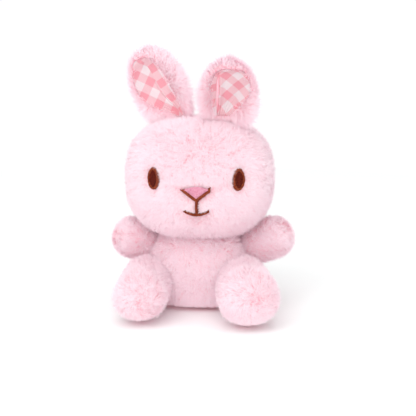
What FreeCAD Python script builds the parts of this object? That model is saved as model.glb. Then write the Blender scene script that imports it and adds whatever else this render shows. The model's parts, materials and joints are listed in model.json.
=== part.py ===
import FreeCAD, Part
import math
import os

import Sketcher
from FreeCAD import Placement, Rotation, Vector

# A stuffed bunny that sits upright with its feet out in front. Millimetres, +Z up,
# the face looks along -Y, the origin is on the floor at the middle of the flat seat.
# Left and right are the bunny's own: left is +X.

doc = FreeCAD.newDocument("StuffedBunny")

# Driving dimensions, each cell a plain number with an alias.
sheet = doc.addObject("Spreadsheet::Sheet", "Sizes")
dimensions = {
    "skin": 2.6,  # plush cloth, backing and pile together
    "slack": 0.2,  # between a filling and the cloth round it
    "room": 300,  # of the blocks that trim pieces, larger than the toy
    "head_rx": 58,
    "head_ry": 47,
    "head_rz": 49,
    "head_y": -3,
    "head_z": 98,
    "face_seam_y": 5,  # where the face panel meets the back panels
    "thread": 0.9,  # satin stitch standing off the plush
    "rope": 1.5,  # the thicker border stitch
    "eye_x": 33,
    "eye_z": 104,
    "eye_rx": 4.4,
    "eye_rz": 8.6,
    "border": 1.1,
    "nose_half": 11,
    "nose_z": 88,
    "nose_tall": 8.4,
    "nose_arch": 11,
    "lip_half": 0.9,
    "lip_z": 76.4,
    "smile_r": 17.6,
    "smile_deg": 72,
    "torso_rx": 41,
    "torso_ry": 38,
    "torso_rz": 42,
    "torso_y": -2,
    "torso_z": 24,
    "torso_top": 44.5,
    "pouch_rx": 25,
    "pouch_ry": 22,
    "pouch_rz": 7.5,
    "pouch_z": 11.5,
    "pouch_cloth": 0.8,
    "tail_r": 12.5,
    "tail_y": 43,
    "tail_z": 17,
    "neck_ring": 22,
    "neck_cord": 1.2,
    "neck_z": 46.3,
    "arm_root": 9.5,
    "arm_r": 16,
    "arm_reach": 25,
    "arm_round": 13,
    "leg_root": 16.8,
    "leg_r": 22.8,
    "leg_reach": 45,
    "leg_round": 15,
    "ear_rx": 26,
    "ear_ry": 10,
    "ear_rz": 31,
    "ear_plush": 2.2,
    "ear_cotton": 0.9,
    "ear_edge": 1.4,
    "play": 0.7,  # round a limb, over its whole travel
}
for row, (alias, value) in enumerate(dimensions.items(), start=1):
    sheet.set("A%d" % row, alias)
    sheet.set("B%d" % row, str(value))
    sheet.setAlias("B%d" % row, alias)
doc.recompute()


def bind(obj, **expressions):
    for name, text in expressions.items():
        obj.setExpression(name.replace("__", "."), text)
    return obj


def ellipsoid(name, rx, ry, rz, x="0", y="0", z="0"):
    obj = doc.addObject("Part::Ellipsoid", name)
    bind(obj, Radius1=rz, Radius2=rx, Radius3=ry)
    return bind(obj, Placement__Base__x=x, Placement__Base__y=y, Placement__Base__z=z)


def block(name, x0, x1, y0, y1, z0, z1):
    obj = doc.addObject("Part::Box", name)
    bind(obj, Length="(%s)-(%s)" % (x1, x0), Width="(%s)-(%s)" % (y1, y0))
    bind(obj, Height="(%s)-(%s)" % (z1, z0))
    return bind(obj, Placement__Base__x=x0, Placement__Base__y=y0, Placement__Base__z=z0)


def combine(kind, name, base, tool):
    obj = doc.addObject("Part::" + kind, name)
    obj.Base, obj.Tool = base, tool
    return obj


def fuse(name, shapes):
    obj = doc.addObject("Part::MultiFuse", name)
    obj.Shapes = shapes
    return obj


subparts = []


def piece(obj, label, placement=None):
    obj.Label = label
    if placement is not None:
        obj.Placement = placement
    subparts.append(obj)
    return obj


def plane_of(body, role):
    return [f for f in body.Origin.OriginFeatures if f.Role == role][0]


def new_sketch(body, name, role):
    sketch = body.newObject("Sketcher::SketchObject", name)
    sketch.AttachmentSupport = [(plane_of(body, role), "")]
    sketch.MapMode = "FlatFace"
    return sketch


def outline(body, name, corners):
    """A closed outline of straight edges on the XZ plane, its corners held by cells."""
    sketch = new_sketch(body, name, "XZ_Plane")
    doc.recompute()
    value = [tuple(sheet_value(text) for text in corner) for corner in corners]
    count = len(corners)
    for i in range(count):
        a, b = value[i], value[(i + 1) % count]
        sketch.addGeometry(Part.LineSegment(Vector(*a, 0), Vector(*b, 0)), False)
    for i in range(count):
        sketch.addConstraint(Sketcher.Constraint("Coincident", i, 2, (i + 1) % count, 1))
    for i, corner in enumerate(corners):
        for kind, axis, text, number in (
            ("DistanceX", -2, corner[0], value[i][0]),
            ("DistanceY", -1, corner[1], value[i][1]),
        ):
            if number == 0:
                sketch.addConstraint(Sketcher.Constraint("PointOnObject", i, 1, axis))
                continue
            at = sketch.addConstraint(Sketcher.Constraint(kind, -1, 1, i, 1, number))
            label = "%s%d" % (kind, i)
            sketch.renameConstraint(at, label)
            sketch.setExpression("Constraints." + label, text)
    return sketch


def sheet_value(text):
    """The number an expression of cells comes to, for placing a sketch's first points."""
    for alias in sorted(dimensions, key=len, reverse=True):
        text = text.replace("Sizes." + alias, "(%s)" % dimensions[alias])
    total = 0.0
    for term in text.replace(" ", "").replace("(-", "(~").replace("-", "+-").split("+"):
        if not term:
            continue
        sign = -1.0 if term.startswith("-") else 1.0
        product = 1.0
        for factor in term.lstrip("-").split("*"):
            product *= float(factor.strip("()").replace("~", "-"))
        total += sign * product
    return total


def limb(name, kind, inset):
    """A limb turned about +X: a round root about the origin, a cone, a rounded sole."""
    body = doc.addObject("PartDesign::Body", name)
    sketch = new_sketch(body, name + "_profile", "XY_Plane")
    root = dimensions[kind + "_root"] - sum(dimensions[c] for c in inset)
    full = dimensions[kind + "_r"] - sum(dimensions[c] for c in inset)
    turn = dimensions[kind + "_round"] - sum(dimensions[c] for c in inset)
    reach = dimensions[kind + "_reach"]
    up = Vector(0, 0, 1)
    centre = Vector(reach, full - turn, 0)
    points = [
        Vector(0, root, 0),
        Vector(reach, full, 0),
        Vector(reach + turn, full - turn, 0),
        Vector(reach + turn, 0, 0),
        Vector(-root, 0, 0),
    ]
    sketch.addGeometry(
        [
            Part.LineSegment(points[0], points[1]),
            Part.ArcOfCircle(Part.Circle(centre, up, turn), 0, math.pi / 2),
            Part.LineSegment(points[2], points[3]),
            Part.LineSegment(points[3], points[4]),
            Part.ArcOfCircle(Part.Circle(Vector(), up, root), math.pi / 2, math.pi),
        ],
        False,
    )
    rule = Sketcher.Constraint
    sketch.addConstraint(
        [
            rule("Coincident", 0, 2, 1, 2),
            rule("Coincident", 1, 1, 2, 1),
            rule("Coincident", 2, 2, 3, 1),
            rule("Coincident", 3, 2, 4, 2),
            rule("Coincident", 4, 1, 0, 1),
            rule("Coincident", 4, 3, -1, 1),
            rule("PointOnObject", 0, 1, -2),
            rule("PointOnObject", 3, 1, -1),
            rule("PointOnObject", 3, 2, -1),
            rule("Vertical", 1, 3, 1, 2),
            rule("Horizontal", 1, 3, 1, 1),
            rule("Vertical", 2),
        ]
    )
    less = "".join(" - Sizes." + c for c in inset)
    for label, made, text in (
        ("root", rule("Radius", 4, root), "Sizes.%s_root%s" % (kind, less)),
        ("turn", rule("Radius", 1, turn), "Sizes.%s_round%s" % (kind, less)),
        ("reach", rule("DistanceX", -1, 1, 0, 2, reach), "Sizes.%s_reach" % kind),
        ("full", rule("DistanceY", -1, 1, 0, 2, full), "Sizes.%s_r%s" % (kind, less)),
    ):
        at = sketch.addConstraint(made)
        sketch.renameConstraint(at, label)
        sketch.setExpression("Constraints." + label, text)
    turned = body.newObject("PartDesign::Revolution", name + "_turned")
    turned.Profile = sketch
    turned.ReferenceAxis = (sketch, ["H_Axis"])
    turned.Angle = 360
    return body


def pad(name, corners):
    """An outline on the XZ plane, drawn out towards the front."""
    body = doc.addObject("PartDesign::Body", name)
    sketch = outline(body, name + "_outline", corners)
    drawn = body.newObject("PartDesign::Pad", name + "_drawn")
    drawn.Profile = sketch
    drawn.setExpression("Length", "Sizes.head_ry")
    return body


# Head: a wide bun of three plush panels round one filling. The face is one panel with
# no seam down its middle; the two back panels meet down the back of the head.
at_head = dict(y="Sizes.head_y", z="Sizes.head_z")
head_form = ellipsoid(
    "HeadForm", "Sizes.head_rx", "Sizes.head_ry", "Sizes.head_rz", **at_head
)
head_hollow = ellipsoid(
    "HeadHollow",
    "Sizes.head_rx - Sizes.skin",
    "Sizes.head_ry - Sizes.skin",
    "Sizes.head_rz - Sizes.skin",
    **at_head,
)
head_cloth = combine("Cut", "HeadCloth", head_form, head_hollow)
wide, deep = "Sizes.room", "-Sizes.room"
before_seam = block("BeforeSeam", deep, wide, deep, "Sizes.face_seam_y", deep, wide)
behind_left = block("BehindLeft", "0", wide, "Sizes.face_seam_y", wide, deep, wide)
behind_right = block("BehindRight", deep, "0", "Sizes.face_seam_y", wide, deep, wide)
piece(combine("Common", "FacePanel", head_cloth, before_seam), "head_face_panel")
piece(combine("Common", "HeadBackLeft", head_cloth, behind_left), "head_back_left_panel")
piece(combine("Common", "HeadBackRight", head_cloth, behind_right), "head_back_right_panel")
piece(
    ellipsoid(
        "HeadFilling",
        "Sizes.head_rx - Sizes.skin - Sizes.slack",
        "Sizes.head_ry - Sizes.skin - Sizes.slack",
        "Sizes.head_rz - Sizes.skin - Sizes.slack",
        **at_head,
    ),
    "head_stuffing",
)

# Embroidery: satin stitch lies on the face in a thin layer, and the borders in a
# thicker one. Each layer starts just off the plush.
on_face = ellipsoid(
    "OnFace",
    "Sizes.head_rx + 0.05",
    "Sizes.head_ry + 0.05",
    "Sizes.head_rz + 0.05",
    **at_head,
)
layers = {}
for name, cell in (("Thread", "Sizes.thread"), ("Rope", "Sizes.rope")):
    over = ellipsoid(
        "Over" + name,
        "Sizes.head_rx + " + cell,
        "Sizes.head_ry + " + cell,
        "Sizes.head_rz + " + cell,
        **at_head,
    )
    layers[name] = combine("Cut", name + "Layer", over, on_face)

# Eyes: tall ovals of dark thread, each inside a rope border.
for side, sign in (("left", ""), ("right", "-")):
    at_eye = dict(x=sign + "Sizes.eye_x", y="-Sizes.head_ry", z="Sizes.eye_z")
    tag = "Eye" + side.title()
    oval = ellipsoid(tag + "Oval", "Sizes.eye_rx", "30", "Sizes.eye_rz", **at_eye)
    inner = ellipsoid(
        tag + "Inner", "Sizes.eye_rx + 0.1", "30", "Sizes.eye_rz + 0.1", **at_eye
    )
    outer = ellipsoid(
        tag + "Outer",
        "Sizes.eye_rx + Sizes.border",
        "31",
        "Sizes.eye_rz + Sizes.border",
        **at_eye,
    )
    ring = combine("Cut", tag + "Ring", outer, inner)
    piece(combine("Common", tag + "Fill", layers["Thread"], oval), "eye_%s_fill" % side)
    piece(combine("Common", tag + "Rope", layers["Rope"], ring), "eye_%s_border" % side)

# Nose: a pink stitched triangle, point down, with a brown V under its two lower sides.
nose_place = Placement(Vector(0, -20, dimensions["nose_z"]), Rotation())
nose_form = pad(
    "NoseForm",
    [
        ("0", "0"),
        ("Sizes.nose_half", "Sizes.nose_tall"),
        ("0.5*Sizes.nose_half", "Sizes.nose_arch"),
        ("-0.5*Sizes.nose_half", "Sizes.nose_arch"),
        ("-1*Sizes.nose_half", "Sizes.nose_tall"),
    ],
)
nose_form.Placement = nose_place
edge_form = pad(
    "NoseEdgeForm",
    [
        ("0", "-2*Sizes.border"),
        ("Sizes.nose_half + 2*Sizes.border", "Sizes.nose_tall"),
        ("Sizes.nose_half + 0.15", "Sizes.nose_tall"),
        ("0", "-0.15"),
        ("-1*Sizes.nose_half - 0.15", "Sizes.nose_tall"),
        ("-1*Sizes.nose_half - 2*Sizes.border", "Sizes.nose_tall"),
    ],
)
edge_form.Placement = nose_place
piece(combine("Common", "NoseFill", layers["Thread"], nose_form), "nose_fill")
piece(combine("Common", "NoseEdge", layers["Rope"], edge_form), "nose_border")

# Mouth: one upright stitch line from the nose down to a shallow smile.
lip_form = block(
    "LipForm",
    "-Sizes.lip_half",
    "Sizes.lip_half",
    "-100",
    "-20",
    "Sizes.lip_z + 2*Sizes.lip_half + 0.2",
    "Sizes.nose_z - 2*Sizes.border - 0.1",
)
piece(combine("Common", "Lip", layers["Thread"], lip_form), "mouth_line")
smile_out = doc.addObject("Part::Cylinder", "SmileOuter")
smile_in = doc.addObject("Part::Cylinder", "SmileInner")
bind(smile_out, Radius="Sizes.smile_r", Height="Sizes.room", Angle="Sizes.smile_deg")
bind(smile_in, Radius="Sizes.smile_r - 2*Sizes.lip_half", Height="Sizes.room", Angle="360")
lean = Rotation(Vector(1, 0, 0), 90)
arc_from = -90 - dimensions["smile_deg"] / 2
smile_at = Vector(0, -20, dimensions["lip_z"] + dimensions["smile_r"])
smile_out.Placement = Placement(smile_at, lean * Rotation(Vector(0, 0, 1), arc_from))
smile_in.Placement = Placement(smile_at, lean)
smile_form = combine("Cut", "SmileForm", smile_out, smile_in)
piece(combine("Common", "Smile", layers["Thread"], smile_form), "mouth_smile")

# Limb forms. An arm turns about its shoulder and a leg about its hip, and both centres
# are at the middle of the limb's round root.
shoulder = Vector(38, -3, 43.5)
hip = Vector(33, -24, 21.2)
arm_way = Vector(0.943, -0.149, 0.298)
leg_way = Vector(0.16, -0.985, 0.05)
limbs = {"arm": (shoulder, arm_way), "leg": (hip, leg_way)}


def mirrored(vector, side):
    return Vector(vector.x if side == "left" else -vector.x, vector.y, vector.z)


# Each limb is two panels round one filling. A limb's seam runs round it lengthwise.
for kind, (root, way) in limbs.items():
    tag = kind.title()
    form = limb(tag + "Form", kind, [])
    hollow = limb(tag + "Hollow", kind, ["skin"])
    cloth = combine("Cut", tag + "Cloth", form, hollow)
    upper = block(tag + "UpperHalf", deep, wide, deep, wide, "0", wide)
    lower = block(tag + "LowerHalf", deep, wide, deep, wide, deep, "0")
    for side in ("left", "right"):
        aim = Rotation(Vector(1, 0, 0), mirrored(way, side))
        place = Placement(mirrored(root, side), aim)
        names = (tag + side.title() + "Upper", tag + side.title() + "Lower")
        piece(combine("Common", names[0], cloth, upper), "%s_%s_upper_panel" % (kind, side), place)
        piece(combine("Common", names[1], cloth, lower), "%s_%s_lower_panel" % (kind, side), place)
        core = limb(tag + side.title() + "Filling", kind, ["skin", "slack"])
        piece(core, "%s_%s_stuffing" % (kind, side), place)

# Torso: an egg trimmed flat at the seat and at the neck, with a hollow where each limb
# swings. Each hollow is the limb's own root and cone at several steps of its travel.
torso_form = ellipsoid(
    "TorsoForm",
    "Sizes.torso_rx",
    "Sizes.torso_ry",
    "Sizes.torso_rz",
    y="Sizes.torso_y",
    z="Sizes.torso_z",
)
torso_hollow = ellipsoid(
    "TorsoHollow",
    "Sizes.torso_rx - Sizes.skin",
    "Sizes.torso_ry - Sizes.skin",
    "Sizes.torso_rz - Sizes.skin",
    y="Sizes.torso_y",
    z="Sizes.torso_z",
)
torso_filling = ellipsoid(
    "TorsoFillingForm",
    "Sizes.torso_rx - Sizes.skin - Sizes.slack",
    "Sizes.torso_ry - Sizes.skin - Sizes.slack",
    "Sizes.torso_rz - Sizes.skin - Sizes.slack",
    y="Sizes.torso_y",
    z="Sizes.torso_z",
)
reliefs = []
travel = {"arm": (Vector(0, 1, 0), (-24, -12, 0, 8)), "leg": (Vector(1, 0, 0), (0, 8, 16, 25))}
for kind, (root, way) in limbs.items():
    axis, steps = travel[kind]
    for side in ("left", "right"):
        tag = "%s%s" % (kind.title(), side.title())
        ball = doc.addObject("Part::Sphere", tag + "Socket")
        bind(ball, Radius="Sizes.%s_root + Sizes.play" % kind)
        ball.Placement = Placement(mirrored(root, side), Rotation())
        reliefs.append(ball)
        for number, angle in enumerate(steps):
            down = kind == "arm" and side == "right"
            swing = Rotation(axis, angle if down else -angle)
            cone = doc.addObject("Part::Cone", "%sSwing%d" % (tag, number))
            bind(
                cone,
                Radius1="Sizes.%s_root + Sizes.play" % kind,
                Radius2="Sizes.%s_r + Sizes.play" % kind,
                Height="Sizes.%s_reach" % kind,
            )
            aim = Rotation(Vector(0, 0, 1), mirrored(way, side))
            cone.Placement = Placement(mirrored(root, side), swing * aim)
            reliefs.append(cone)
relief = fuse("LimbReliefs", reliefs)

body_slab = block("BodySlab", deep, wide, deep, wide, "0", "Sizes.torso_top")
hollow_slab = block(
    "HollowSlab", deep, wide, deep, wide, "-1", "Sizes.torso_top - Sizes.skin"
)
torso_outside = combine("Common", "TorsoOutside", torso_form, body_slab)
torso_inside = combine("Common", "TorsoInside", torso_hollow, hollow_slab)
torso_wall = combine("Cut", "TorsoWall", torso_outside, torso_inside)
torso_cloth = combine("Cut", "TorsoCloth", torso_wall, relief)
belly_side = block("BellySide", deep, wide, deep, "Sizes.face_seam_y", deep, wide)
piece(combine("Common", "BellyPanel", torso_cloth, belly_side), "torso_belly_panel")
piece(combine("Common", "TorsoBackLeft", torso_cloth, behind_left), "torso_back_left_panel")
piece(combine("Common", "TorsoBackRight", torso_cloth, behind_right), "torso_back_right_panel")

# Seat: a flat oval panel inside the foot of the torso walls.
seat_slab = block("SeatSlab", deep, wide, deep, wide, "0", "Sizes.skin")
seat_form = combine("Common", "SeatForm", torso_filling, seat_slab)
piece(combine("Cut", "SeatPanel", seat_form, relief), "torso_seat_panel")

# Pellet pouch: a small flat cloth bag of plastic pellets low in the seat, which keeps
# the big head from tipping the toy over.
at_pouch = dict(y="Sizes.torso_y + 6", z="Sizes.pouch_z")
pouch_form = ellipsoid(
    "PouchForm", "Sizes.pouch_rx", "Sizes.pouch_ry", "Sizes.pouch_rz", **at_pouch
)
pouch_hollow = ellipsoid(
    "PouchHollow",
    "Sizes.pouch_rx - Sizes.pouch_cloth",
    "Sizes.pouch_ry - Sizes.pouch_cloth",
    "Sizes.pouch_rz - Sizes.pouch_cloth",
    **at_pouch,
)
pouch_room = ellipsoid(
    "PouchRoom",
    "Sizes.pouch_rx + Sizes.slack",
    "Sizes.pouch_ry + Sizes.slack",
    "Sizes.pouch_rz + Sizes.slack",
    **at_pouch,
)
pellets_form = ellipsoid(
    "PelletsForm",
    "Sizes.pouch_rx - Sizes.pouch_cloth - 0.1",
    "Sizes.pouch_ry - Sizes.pouch_cloth - 0.1",
    "Sizes.pouch_rz - Sizes.pouch_cloth - 0.1",
    **at_pouch,
)
pouch_cloth = combine("Cut", "PouchCloth", pouch_form, pouch_hollow)
piece(combine("Cut", "Pouch", pouch_cloth, relief), "pellet_pouch")
piece(combine("Cut", "Pellets", pellets_form, relief), "pellets")
filling_slab = block(
    "FillingSlab",
    deep,
    wide,
    deep,
    wide,
    "Sizes.skin + Sizes.slack",
    "Sizes.torso_top - Sizes.skin - Sizes.slack",
)
filling_whole = combine("Common", "TorsoFillingWhole", torso_filling, filling_slab)
filling_round = combine("Cut", "TorsoFillingRound", filling_whole, pouch_room)
piece(combine("Cut", "TorsoFilling", filling_round, relief), "torso_stuffing")

# Closing seam: the ladder stitch down the middle of the back where the filling went in.
seam_over = ellipsoid(
    "SeamOver",
    "Sizes.torso_rx + 0.7",
    "Sizes.torso_ry + 0.7",
    "Sizes.torso_rz + 0.7",
    y="Sizes.torso_y",
    z="Sizes.torso_z",
)
seam_under = ellipsoid(
    "SeamUnder",
    "Sizes.torso_rx + 0.05",
    "Sizes.torso_ry + 0.05",
    "Sizes.torso_rz + 0.05",
    y="Sizes.torso_y",
    z="Sizes.torso_z",
)
seam_layer = combine("Cut", "SeamLayer", seam_over, seam_under)
seam_strip = block("SeamStrip", "-0.6", "0.6", "0", wide, "31", "43")
piece(combine("Common", "ClosingSeam", seam_layer, seam_strip), "torso_closing_seam")

# Tail: a small plush ball sewn low on the back.
at_tail = dict(y="Sizes.tail_y", z="Sizes.tail_z")
tail_form = ellipsoid("TailForm", "Sizes.tail_r", "Sizes.tail_r", "Sizes.tail_r", **at_tail)
tail_hollow = ellipsoid(
    "TailHollow",
    "Sizes.tail_r - Sizes.skin",
    "Sizes.tail_r - Sizes.skin",
    "Sizes.tail_r - Sizes.skin",
    **at_tail,
)
tail_core = ellipsoid(
    "TailCore",
    "Sizes.tail_r - Sizes.skin - Sizes.slack",
    "Sizes.tail_r - Sizes.skin - Sizes.slack",
    "Sizes.tail_r - Sizes.skin - Sizes.slack",
    **at_tail,
)
tail_cloth = combine("Cut", "TailCloth", tail_form, tail_hollow)
piece(combine("Cut", "TailSkin", tail_cloth, seam_under), "tail_skin")
piece(combine("Cut", "TailFilling", tail_core, seam_under), "tail_stuffing")

# Neck: the gathered seam that joins head and torso, a ring of thread and seam turnings.
ring = doc.addObject("Part::Torus", "NeckRing")
bind(ring, Radius1="Sizes.neck_ring", Radius2="Sizes.neck_cord")
piece(ring, "neck_seam", Placement(Vector(0, 0, dimensions["neck_z"]), Rotation()))

# Ears: each a shallow upright cup, plush behind and cotton in front, whose two layers
# are bound at the edge. The right ear stands up and leans out; the left tips forward.
ears = {
    "left": (Vector(25, -7, 143.6), 26, 8),
    "right": (Vector(-18.5, 0, 145.4), -1, -21),
}
for side, (foot, tip, lean_out) in ears.items():
    tag = "Ear" + side.title()

    def cup(name, less):
        return ellipsoid(
            tag + name,
            "Sizes.ear_rx" + less,
            "Sizes.ear_ry" + less,
            "Sizes.ear_rz" + less,
            z="Sizes.ear_rz",
        )

    outside = cup("Outside", "")
    under_plush = cup("UnderPlush", " - Sizes.ear_plush")
    over_cotton = cup("OverCotton", " - Sizes.ear_plush - 0.05")
    inside = cup("Inside", " - Sizes.ear_plush - Sizes.ear_cotton")
    plush = combine("Cut", tag + "PlushCup", outside, under_plush)
    cotton = combine("Cut", tag + "CottonCup", over_cotton, inside)
    whole = combine("Cut", tag + "WholeCup", outside, inside)
    back = block(tag + "Back", deep, wide, "Sizes.ear_edge + 0.05", wide, deep, wide)
    edge = block(tag + "EdgeSlab", deep, wide, "0", "Sizes.ear_edge", deep, wide)
    aim = Rotation(Vector(0, 1, 0), lean_out) * Rotation(Vector(1, 0, 0), tip)
    place = Placement(foot, aim)
    piece(combine("Common", tag + "Plush", plush, back), "ear_%s_back_panel" % side, place)
    piece(combine("Common", tag + "Lining", cotton, back), "ear_%s_lining" % side, place)
    piece(combine("Common", tag + "Edge", whole, edge), "ear_%s_edge_seam" % side, place)

doc.recompute()

# Every object must have worked, and every sub-part must be sound, before any is written.
for obj in doc.Objects:
    if "Invalid" in obj.State or "Error" in obj.State:
        raise RuntimeError("%s failed: %s" % (obj.Name, obj.State))
for obj in subparts:
    if obj.Shape.isNull() or not obj.Shape.isValid() or not obj.Shape.Solids:
        raise RuntimeError("%s has no sound shape" % obj.Label)

os.makedirs("parts", exist_ok=True)
for obj in subparts:
    obj.Shape.exportStep("parts/%s.step" % obj.Label)
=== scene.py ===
import json
import math
import random

import bmesh
import bpy
from mathutils import Matrix, Vector
from mathutils.bvhtree import BVHTree

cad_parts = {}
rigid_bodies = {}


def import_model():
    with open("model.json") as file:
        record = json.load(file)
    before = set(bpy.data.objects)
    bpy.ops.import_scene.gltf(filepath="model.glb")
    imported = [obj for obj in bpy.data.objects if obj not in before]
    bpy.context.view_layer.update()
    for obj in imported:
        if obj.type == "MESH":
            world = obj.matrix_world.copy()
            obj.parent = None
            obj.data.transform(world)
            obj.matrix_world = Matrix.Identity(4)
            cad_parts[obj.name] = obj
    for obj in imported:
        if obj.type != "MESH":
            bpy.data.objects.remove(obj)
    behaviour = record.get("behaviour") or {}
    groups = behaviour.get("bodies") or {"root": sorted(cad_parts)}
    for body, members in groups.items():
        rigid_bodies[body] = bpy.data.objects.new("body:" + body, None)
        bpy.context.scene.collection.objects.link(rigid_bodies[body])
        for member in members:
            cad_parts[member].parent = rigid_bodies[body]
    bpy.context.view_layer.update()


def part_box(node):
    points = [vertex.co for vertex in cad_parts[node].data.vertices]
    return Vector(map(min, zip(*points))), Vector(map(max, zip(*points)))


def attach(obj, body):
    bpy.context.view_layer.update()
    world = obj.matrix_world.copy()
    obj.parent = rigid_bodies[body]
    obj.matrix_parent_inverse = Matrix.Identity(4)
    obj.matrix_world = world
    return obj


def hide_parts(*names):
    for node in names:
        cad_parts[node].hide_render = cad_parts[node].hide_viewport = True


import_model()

# ---------------------------------------------------------------------------
# Camera, floor and light: a long lens a little above the toy and a little to
# its left side, on a plain white floor disc under large soft lamps.
# ---------------------------------------------------------------------------
lens = bpy.data.cameras.new("studio_camera")
lens.lens = 100
lens.sensor_width = 36
camera = bpy.data.objects.new("studio_camera", lens)
bpy.context.scene.collection.objects.link(camera)
look_at = Vector((0.006, 0.0, 0.0735))
turn, rise, away = math.radians(5), math.radians(12), 0.90
camera.location = look_at + away * Vector(
    (math.sin(turn) * math.cos(rise), -math.cos(turn) * math.cos(rise), math.sin(rise))
)
camera.rotation_euler = (look_at - camera.location).to_track_quat("-Z", "Y").to_euler()
bpy.context.scene.camera = camera
bpy.context.scene.view_settings.view_transform = "Standard"
# light passes from strand to strand many times in a deep pile
bpy.context.scene.cycles.max_bounces = 20
bpy.context.scene.cycles.diffuse_bounces = 16


def soft_lamp(name, at, size, watts, colour):
    lamp = bpy.data.lights.new(name, "AREA")
    lamp.shape, lamp.size, lamp.energy, lamp.color = "DISK", size, watts, colour
    obj = bpy.data.objects.new(name, lamp)
    obj.location = at
    obj.rotation_euler = (Vector((0, 0, 0.08)) - Vector(at)).to_track_quat("-Z", "Y").to_euler()
    bpy.context.scene.collection.objects.link(obj)


soft_lamp("key_lamp", (-0.75, -0.9, 1.15), 1.3, 6.0, (1.0, 0.99, 0.98))
soft_lamp("front_lamp", (0.2, -1.6, 0.42), 1.3, 9.0, (1.0, 0.985, 0.985))
soft_lamp("top_lamp", (0.05, -0.15, 1.5), 1.3, 4.5, (1.0, 1.0, 1.0))

# the room is white to look at, and gives a gentler white light than it shows
sky = bpy.data.worlds.new("studio_white")
bpy.context.scene.world = sky
sky.use_nodes = True
nodes, links = sky.node_tree.nodes, sky.node_tree.links
room = nodes["Background"]
room.inputs["Color"].default_value = (1, 1, 1, 1)
ray = nodes.new("ShaderNodeLightPath")
glow = nodes.new("ShaderNodeMapRange")
glow.inputs["To Min"].default_value = 0.80
glow.inputs["To Max"].default_value = 1.02
links.new(ray.outputs["Is Camera Ray"], glow.inputs["Value"])
links.new(glow.outputs["Result"], room.inputs["Strength"])

floor_paper = bpy.data.materials.new("floor_paper")
floor_paper.use_nodes = True
paper = floor_paper.node_tree.nodes["Principled BSDF"]
paper.inputs["Base Color"].default_value = (0.975, 1.0, 0.995, 1)
paper.inputs["Roughness"].default_value = 0.9
floor_mesh = bpy.data.meshes.new("floor")
floor_rim = [(0.6 * math.cos(math.pi * k / 48), 0.6 * math.sin(math.pi * k / 48), 0) for k in range(96)]
floor_mesh.from_pydata(floor_rim, [], [tuple(range(96))])
floor_mesh.materials.append(floor_paper)
floor = bpy.data.objects.new("floor", floor_mesh)
bpy.context.scene.collection.objects.link(floor)

# ---------------------------------------------------------------------------
# Head: a wide bun of rabbit-pile plush, a face panel and two back panels sewn
# round polyester fibre. The knit backing is a padded skin, and real strands of
# pile stand on it in four thin coats.
# ---------------------------------------------------------------------------
head_low = Vector(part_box("head_face_panel")[0])
head_high = Vector(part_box("head_face_panel")[1])
back_high = Vector(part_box("head_back_left_panel")[1])
head_at = Vector((0, (head_low.y + back_high.y) / 2, (head_low.z + head_high.z) / 2))
head_radii = Vector((head_high.x, (back_high.y - head_low.y) / 2, (head_high.z - head_low.z) / 2))
pile_deep = 0.0034  # how far the cloth backing lies inside the plush surface


def new_object(name, mesh):
    obj = bpy.data.objects.new(name, mesh)
    bpy.context.scene.collection.objects.link(obj)
    return obj


def mesh_of(name, points, faces):
    mesh = bpy.data.meshes.new(name)
    mesh.from_pydata([tuple(p) for p in points], [], faces)
    mesh.update()
    mesh.polygons.foreach_set("use_smooth", [True] * len(mesh.polygons))
    return mesh


def bun(name, centre, radii, power, cuts=40):
    """A stuffed round form from a rounded cube, fuller at its shoulders as power grows."""
    form = bmesh.new()
    bmesh.ops.create_cube(form, size=2)
    bmesh.ops.subdivide_edges(form, edges=form.edges[:], cuts=cuts, use_grid_fill=True)
    for vert in form.verts:
        way = Vector([math.tan(c * math.pi / 4) for c in vert.co]).normalized()
        size = sum(abs(c) ** power for c in way) ** (1 / power)
        vert.co = centre + Vector([c / size * r for c, r in zip(way, radii)])
    bmesh.ops.recalc_face_normals(form, faces=form.faces[:])
    mesh = bpy.data.meshes.new(name)
    form.to_mesh(mesh)
    form.free()
    mesh.polygons.foreach_set("use_smooth", [True] * len(mesh.polygons))
    return new_object(name, mesh)


def plump(skin, voxel, cap, held=None):
    """Fills a sewn skin with air pressure, as its stuffing does, and keeps the result."""
    start = skin.data.copy()
    rest = new_object(skin.name + "_rest", start)
    grain = rest.modifiers.new("grain", "REMESH")
    grain.mode, grain.voxel_size = "VOXEL", voxel
    bpy.context.view_layer.update()
    coarse = bpy.data.meshes.new_from_object(rest.evaluated_get(bpy.context.evaluated_depsgraph_get()))
    rest.modifiers.clear()
    rest.data = coarse
    before = [v.co.copy() for v in coarse.vertices]
    cloth = rest.modifiers.new("stuffing", "CLOTH")
    settings = cloth.settings
    settings.quality = 6
    settings.use_pressure = True
    settings.uniform_pressure_force = 4
    settings.tension_stiffness = settings.compression_stiffness = 40
    settings.bending_stiffness = 3
    settings.effector_weights.gravity = 0
    cloth.collision_settings.use_collision = False
    if held is not None:
        group = rest.vertex_groups.new(name="held")
        group.add([i for i, p in enumerate(before) if held(p)], 1.0, "REPLACE")
        settings.vertex_group_mass = "held"
    for step in range(1, 21):
        bpy.context.scene.frame_set(step)
    solved = bpy.data.meshes.new_from_object(rest.evaluated_get(bpy.context.evaluated_depsgraph_get()))
    bpy.context.scene.frame_set(1)
    moved = []
    for old, vert in zip(before, solved.vertices):
        shift = vert.co - old
        moved.append(shift * min(1.0, cap / max(shift.length, 1e-9)))
    # the swell is carried over to the fine skin from the nearest points of the coarse one
    tree = BVHTree.FromPolygons(before, [tuple(p.vertices) for p in coarse.polygons])
    for vert in skin.data.vertices:
        near, _, face, _ = tree.find_nearest(vert.co)
        corners = coarse.polygons[face].vertices
        weights = [1 / ((before[c] - vert.co).length + 1e-4) for c in corners]
        vert.co += sum((moved[c] * w for c, w in zip(corners, weights)), Vector()) / sum(weights)
    skin.data.update()
    bpy.data.objects.remove(rest)


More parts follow.
